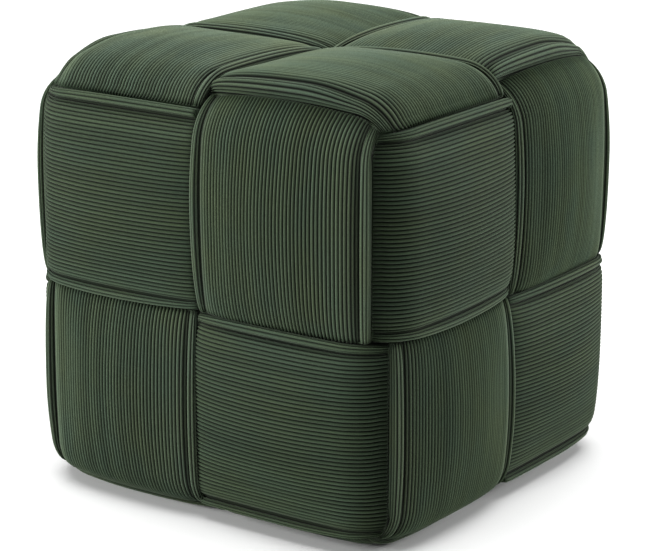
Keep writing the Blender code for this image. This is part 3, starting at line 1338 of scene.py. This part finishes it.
@dataclass
class Band:
    """One padded corduroy ring, woven with the other five.

    Attributes:
        node: Name of the solid that it stands for.
        outer: Face of the cube on its outer side.
        first: Face on which its first quarter starts.
        slot: The record's material slot.
        seed: A number of its own, for its cloth.
        painted_light_gain: Painted light and shade: a factor on the band's colour; the level bands, whose
            ribs catch more light, are painted darker.
        hem_painted_light: Painted light: how much lighter its hems' colour is painted than its body's,
            where their crests catch the light.
        cube: The cube that it lies on.
        section: Its shape across.
        course: Its shape along a cell.
        underpass: Its shape underneath.
        inside: Its inside face.
        ribs: The cloth's ribs.
        padding: The wadding.
        finish: The cloth's finish.
        cell_stations: Number of stations on a cell on top.
        crowding: How much closer the stations stand at a cell's ends.
        end_gap: Distance of the first and last station of a cell from its borders.
        free_power: How soon the cloth gets free between the two ends of a cell.
    """

    node: str
    outer: Face
    first: Face
    slot: str
    seed: int
    painted_light_gain: float = 1.0
    hem_painted_light: float = 1.18
    cube: RoundedCube = field(default_factory=RoundedCube)
    section: Section = field(default_factory=Section)
    course: Course = field(default_factory=Course)
    underpass: Underpass = field(default_factory=Underpass)
    inside: Inside = field(default_factory=Inside)
    ribs: Ribs = field(default_factory=Ribs)
    padding: Padding = field(default_factory=Padding)
    finish: Corduroy = field(default_factory=Corduroy)
    cell_stations: int = 50
    crowding: float = 0.75
    end_gap: float = 1.0 * MM
    free_power: float = 0.5

    @property
    def flat(self) -> float:
        """Return where the seat's flat face ends across the band."""
        return self.cube.flat_half(self.outer.way)

    def cell_shares(self) -> np.ndarray:
        """Return the stations' places along a cell, from 0 to 1, closer together at both ends.

        The place is the even share minus a sine of it.
        """
        even = np.linspace(0, 1, self.cell_stations)
        return even - self.crowding * np.sin(2 * math.pi * even) / (2 * math.pi)

    def distances(self, seats: np.ndarray, ahead: Face) -> tuple[np.ndarray, np.ndarray]:
        """Lay the stations out along a cell, from a little after its start to a little before its border.

        Args:
            seats: Distances along the seat, of the points across.
            ahead: The face after the cell's own.

        Returns:
            The distances along the cell, stations by points, and the cell's length at each point.
        """
        border = self.cube.border_turn(self.cube.latitude(seats, self.flat))
        length = (self.cube.flat_half(ahead.way) + self.cube.edge_radius * border)[None, :]
        return self.end_gap + self.cell_shares()[:, None] * (length - 2 * self.end_gap), length

    def inside_of(self, here: Face, ahead: Face) -> np.ndarray:
        """Work out the inside face of a cell on top.

        Args:
            here: The cell's face.
            ahead: The face after it.

        Returns:
            The points, stations first.
        """
        seats = self.inside.seats(self.cube, self.flat)
        latitude = self.cube.latitude(seats, self.flat)
        distance = self.distances(seats, ahead)[0]
        height = self.inside.height(distance, latitude[None, :], self.cube.flat_half(ahead.way), self.cube,
                                    self.underpass.pad)
        side, rise = self.cube.across(np.broadcast_to(seats, height.shape), height, self.flat)
        return self.cube.place(here.way, ahead.way, self.outer.way, distance, side, rise)

    def cell(self, here: Face, ahead: Face, profile: Profile) -> Cell:
        """Work out a cell on top.

        The section's side and rise over the seat are multiplied by the share of the full height.

        Args:
            here: The cell's face.
            ahead: The face after it.
            profile: The section.

        Returns:
            The cell.
        """
        distance, length = self.distances(profile.seat, ahead)
        height = self.course.height(distance, length, profile, here, ahead)
        low_side, low_rise = self.cube.across(profile.seat, -self.cube.gap, self.flat)
        flat_side, flat_rise = self.cube.across(profile.seat, 0.0, self.flat)
        side = low_side + height * (profile.side - flat_side)
        rise = low_rise + height * (profile.rise - flat_rise)
        surface = self.cube.place(here.way, ahead.way, self.outer.way, distance, side, rise)
        shading = self.course.shading(distance, length, profile, here, ahead)
        return Cell(surface, self.inside_of(here, ahead), height, shading)

    def passage(self, here: Face, ahead: Face, seats: np.ndarray, layer: Layer,
                before: bool) -> np.ndarray:
        """Work out one face of the narrow band underneath.

        Args:
            here: Face on which the quarter starts.
            ahead: The face after it.
            seats: Distances along the seat, of the full section.
            layer: Which of the band's two faces.
            before: Whether this is the single station before a cell, or else the ones after it.

        Returns:
            The points, stations first.
        """
        flat = self.flat
        seats = self.underpass.narrowed(seats, self.cube, flat)
        border = self.cube.border_turn(self.cube.latitude(seats, flat))
        if before:
            distance = np.full((1, len(seats)), self.cube.border_gap)
        else:
            shares = np.linspace(0, 1, self.underpass.stations + 1)[:, None]
            turn = border + (math.pi / 2 - border) * shares
            distance = self.cube.flat_half(ahead.way) + self.cube.edge_radius * turn
            distance[0] -= self.cube.border_gap
        closing = self.underpass.closing(seats, self.cube, flat)
        depth = -self.cube.gap - (0 if layer is Layer.OUTER else self.underpass.pad)
        side, rise = self.cube.across(seats, depth - layer.value * closing, flat)
        side, rise = (np.broadcast_to(value, distance.shape) for value in (side, rise))
        return self.cube.place(here.way, ahead.way, self.outer.way, distance, side, rise)

    def quarter(self, here: Face, profile: Profile) -> dict[str, tuple[np.ndarray, ...]]:
        """Work out a quarter of the ring: the passage before a cell, the cell, and the passage after it.

        Args:
            here: The cell's face.
            profile: The section.

        Returns:
            The three parts of the surface, of the inside face, of the ribs' relief and painted light, of
            the painted light and shade, of how free the cloth is and of the plain crown, each with the
            stations first.
        """
        ahead = here.ahead(self.outer)
        inner_seats = self.inside.seats(self.cube, self.flat)
        before, after = (self.passage(here, ahead, profile.seat, Layer.OUTER, flag)
                         for flag in (True, False))
        before_in, after_in = (self.passage(here, ahead, inner_seats, Layer.INSIDE, flag)
                               for flag in (True, False))
        hidden_before, hidden_after = (np.zeros(part.shape[:2]) for part in (before, after))
        cell = self.cell(here, ahead, profile)
        relief = profile.relief * np.clip(cell.height / self.course.hem_share, 0, 1)
        # Painted light: the hems' colour is painted lighter than the body's
        shade = cell.shading * (1 + (self.hem_painted_light - 1) * (1 - profile.body))
        ends = np.sin(math.pi * np.linspace(0, 1, self.cell_stations)) ** self.free_power
        return {
            "surface": (before, cell.surface, after),
            "inside": (before_in, cell.inside, after_in),
            "relief": (hidden_before, relief, hidden_after),
            "light": (hidden_before + 1, np.broadcast_to(profile.light, relief.shape), hidden_after + 1),
            "shade": (hidden_before + self.course.shade, shade, hidden_after + self.course.shade),
            "free": (hidden_before, profile.body * ends[:, None], hidden_after),
            "plain": (hidden_before, self.padding.plain(profile, cell.height), hidden_after),
        }

    def ring(self) -> dict[str, np.ndarray]:
        """Work out the whole ring, quarter by quarter.

        Returns:
            What a quarter has, joined up, and the places across, counted in ribs.
        """
        here = self.first
        quarters = []
        for _number in range(4):
            profile = self.section.profile(self.cube, self.flat, here is Face.TOP, self.ribs)
            quarters.append(self.quarter(here, profile))
            here = here.ahead(self.outer)
        ring = {name: np.concatenate([part for quarter in quarters for part in quarter[name]])
                for name in quarters[0]}
        ring["phase"] = profile.phase
        return ring

    def numbers(self, ring: dict[str, np.ndarray], rib: np.ndarray) -> dict[str, np.ndarray]:
        """Work out the numbers that the finish reads, at each point round the section.

        The place across is counted in ribs. The place along is the way walked on the inside face. The
        height is 1 on a crest and less in a furrow, by the relief, all times the painted light. The shade
        is the painted light and shade, times the band's own painted factor. The inside face is painted
        dark, as shade.

        Args:
            ring: The ring.
            rib: Each rib's height across the cloth.

        Returns:
            The numbers, stations by points.
        """
        # The inside face is painted dark, as shade: no height, and the border's painted shade
        hidden = np.zeros(ring["inside"].shape[:2])
        steps = np.linalg.norm(np.diff(ring["inside"][:, self.inside.middle], axis=0), axis=-1)
        height = np.concatenate((ring["light"] * (1 - ring["relief"] * (1 - rib)), hidden), axis=1)
        return {
            "across": np.broadcast_to(np.append(ring["phase"], hidden[0]), height.shape),
            "along": np.broadcast_to(running_sum(steps)[:, None], height.shape),
            "height": height,
            "shade": self.painted_light_gain * np.concatenate((ring["shade"], hidden + self.course.shade), axis=1),
        }

    def surface(self) -> tuple[np.ndarray, dict[str, np.ndarray]]:
        """Work out all the ring's points, with the wadding's swelling, the ribs and the floor's press.

        The swelling and then the ribs move each point along the grid's normal there. A rib stands out by
        its depth times its height less a half, so that the cloth's middle stays where it was.

        Returns:
            The points, stations by points round the section, and the numbers that the finish reads.
        """
        ring = self.ring()
        normals = grid_normals(ring["surface"])
        outward = np.sign((normals * ring["surface"]).sum(axis=-1).sum())
        normals *= outward
        swelling = self.padding.swelling(ring["surface"], ring["inside"], normals, ring["free"])
        puffed = ring["surface"] + normals * swelling[..., None]
        normals = grid_normals(puffed) * outward
        rib = self.ribs.height(ring["phase"])[None, :]
        ribs = self.ribs.depth * ring["relief"] * (rib - 0.5)
        ribbed = puffed + normals * ribs[..., None]
        points = np.concatenate((ribbed, ring["inside"]), axis=1)
        return self.cube.settle(points), self.numbers(ring, rib)

    def build(self) -> bpy.types.Object:
        """Build the band's object, with its cloth numbers as attributes.

        Returns:
            The object, which stands for its solid and rides on the root body.
        """
        points, numbers = self.surface()
        mesh = ring_mesh(self.node + "_cloth", points)
        for name, values in numbers.items():
            attribute = mesh.attributes.new(name, "FLOAT", "POINT")
            attribute.data.foreach_set("value", values.astype(np.float32).ravel())
        piece = linked(mesh.name, mesh)
        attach(piece, "root")
        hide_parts(self.node)
        LOG.info("%s: %d faces", piece.name, len(mesh.polygons))
        return piece

    def dress(self, piece: bpy.types.Object) -> None:
        """Give the band its cloth.

        Args:
            piece: The band's object.
        """
        piece.data.materials.append(self.finish.make(self.slot, self.seed, self.ribs.pitch))


@dataclass(frozen=True)
class Lamp:
    """A soft studio lamp.

    Attributes:
        name: Its name.
        place: Where it stands.
        size: Width of its square face.
        power: Its power in watts.
        colour: Its colour.
    """

    name: str
    place: tuple[float, float, float]
    size: float
    power: float
    colour: tuple[float, float, float] = (1.0, 1.0, 1.0)


@dataclass(frozen=True)
class Studio:
    """The camera, the soft lamps and the pale floor.

    Attributes:
        azimuth: Angle of the camera round the pouf, from the front towards the right.
        elevation: Angle of the camera above the floor.
        unit: Half of the pouf's width between its seams, in which the camera's place is measured.
        distance: Distance of the camera, in units.
        shift: Where the camera looks, from the pouf's middle, in units.
        lens: Focal length in millimetres.
        sensor: Width of the picture in the camera, in millimetres.
        lamps: The lamps.
        overhead: Strength of the wide light from above.
        overhead_spread: Angle over which that light spreads.
        ambient: Strength of the light from all round.
        floor_size: Size of the floor.
        floor_tone: Brightness of the floor.
        floor_roughness: Roughness of the floor.
    """

    azimuth: float = math.radians(35.06)
    elevation: float = math.radians(16.03)
    unit: float = 197.5 * MM
    distance: float = 12.0
    shift: tuple[float, float, float] = (0.003, -0.023, -0.063)
    lens: float = 139.6
    sensor: float = 36.0
    lamps: tuple[Lamp, ...] = (
        Lamp("key", (-2.2, -2.3, 1.0), 0.9, 98.0),
        Lamp("fill", (1.95, 2.3, 1.0), 0.9, 68.0),
    )
    overhead: float = 3.5
    overhead_spread: float = math.radians(60)
    ambient: float = 0.2
    floor_size: float = 60.0
    floor_tone: float = 0.93
    floor_roughness: float = 0.9

    def camera(self, centre: Vector) -> None:
        """Set up the camera at the photograph's viewing angle.

        Args:
            centre: The pouf's middle.
        """
        back = Vector((math.sin(self.azimuth) * math.cos(self.elevation),
                       -math.cos(self.azimuth) * math.cos(self.elevation), math.sin(self.elevation)))
        data = bpy.data.cameras.new("camera")
        data.sensor_width = self.sensor
        data.lens = self.lens
        camera = linked("camera", data)
        camera.location = centre + Vector(self.shift) * self.unit + back * self.distance * self.unit
        camera.rotation_euler = back.to_track_quat("Z", "Y").to_euler()
        bpy.context.scene.camera = camera

    def light(self, centre: Vector) -> None:
        """Set up the lamps, each turned to the pouf, and the light from all round.

        Args:
            centre: The pouf's middle.
        """
        for lamp in self.lamps:
            data = bpy.data.lights.new(lamp.name, "AREA")
            data.size = lamp.size
            data.energy = lamp.power
            data.color = lamp.colour
            light = linked(lamp.name, data)
            light.location = lamp.place
            light.rotation_euler = (centre - light.location).to_track_quat("-Z", "Y").to_euler()
        data = bpy.data.lights.new("overhead", "SUN")
        data.energy = self.overhead
        data.angle = self.overhead_spread
        linked("overhead", data)
        world = bpy.data.worlds.new("studio")
        world.use_nodes = True
        background = world.node_tree.nodes["Background"]
        background.inputs["Color"].default_value = (1.0, 1.0, 1.0, 1.0)
        background.inputs["Strength"].default_value = self.ambient
        bpy.context.scene.world = world
        bpy.context.scene.view_settings.view_transform = "Standard"

    def floor(self) -> None:
        """Lay a plain pale floor."""
        half = self.floor_size / 2
        mesh = bpy.data.meshes.new("floor")
        mesh.from_pydata([(-half, -half, 0), (half, -half, 0), (half, half, 0), (-half, half, 0)], [],
                         [(0, 1, 2, 3)])
        material = bpy.data.materials.new("floor")
        material.use_nodes = True
        shader = material.node_tree.nodes["Principled BSDF"]
        shader.inputs["Base Color"].default_value = (self.floor_tone, self.floor_tone, self.floor_tone, 1.0)
        shader.inputs["Roughness"].default_value = self.floor_roughness
        mesh.materials.append(material)
        floor = linked("floor", mesh)


def main() -> None:
    """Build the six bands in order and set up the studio."""
    logging.basicConfig(level=logging.INFO, format="%(message)s")
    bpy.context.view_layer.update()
    level = Course(outer_start_power=0.06)
    flat_ribs, slim_ribs = Ribs(fullness=1.05), Ribs(fullness=2.0)
    # nap and hem_painted_light paint light and shade into each band's colour, so the bands look as bright
    # under the lamps as each other
    bands = (
        Band("band_x_pos", Face.RIGHT, Face.FRONT, "corduroy_x_pos", seed=1, painted_light_gain=1.0),
        Band("band_x_neg", Face.LEFT, Face.FRONT, "corduroy_x_neg", seed=2, painted_light_gain=1.08),
        Band("band_y_neg", Face.FRONT, Face.RIGHT, "corduroy_y_neg", seed=3, painted_light_gain=0.92, ribs=slim_ribs),
        Band("band_y_pos", Face.BACK, Face.RIGHT, "corduroy_y_pos", seed=4, painted_light_gain=0.92, ribs=slim_ribs),
        Band("band_z_upper", Face.TOP, Face.FRONT, "corduroy_z_upper", seed=5, painted_light_gain=0.62, hem_painted_light=1.35,
             course=level, ribs=flat_ribs),
        Band("band_z_lower", Face.UNDER, Face.FRONT, "corduroy_z_lower", seed=6, painted_light_gain=0.62, hem_painted_light=1.35,
             course=level, ribs=flat_ribs),
    )
    for band in bands:
        band.dress(band.build())
    studio = Studio()
    centre = Vector((0, 0, bands[0].cube.centre_height))
    studio.camera(centre)
    studio.light(centre)
    studio.floor()


if __name__ == "__main__":
    main()
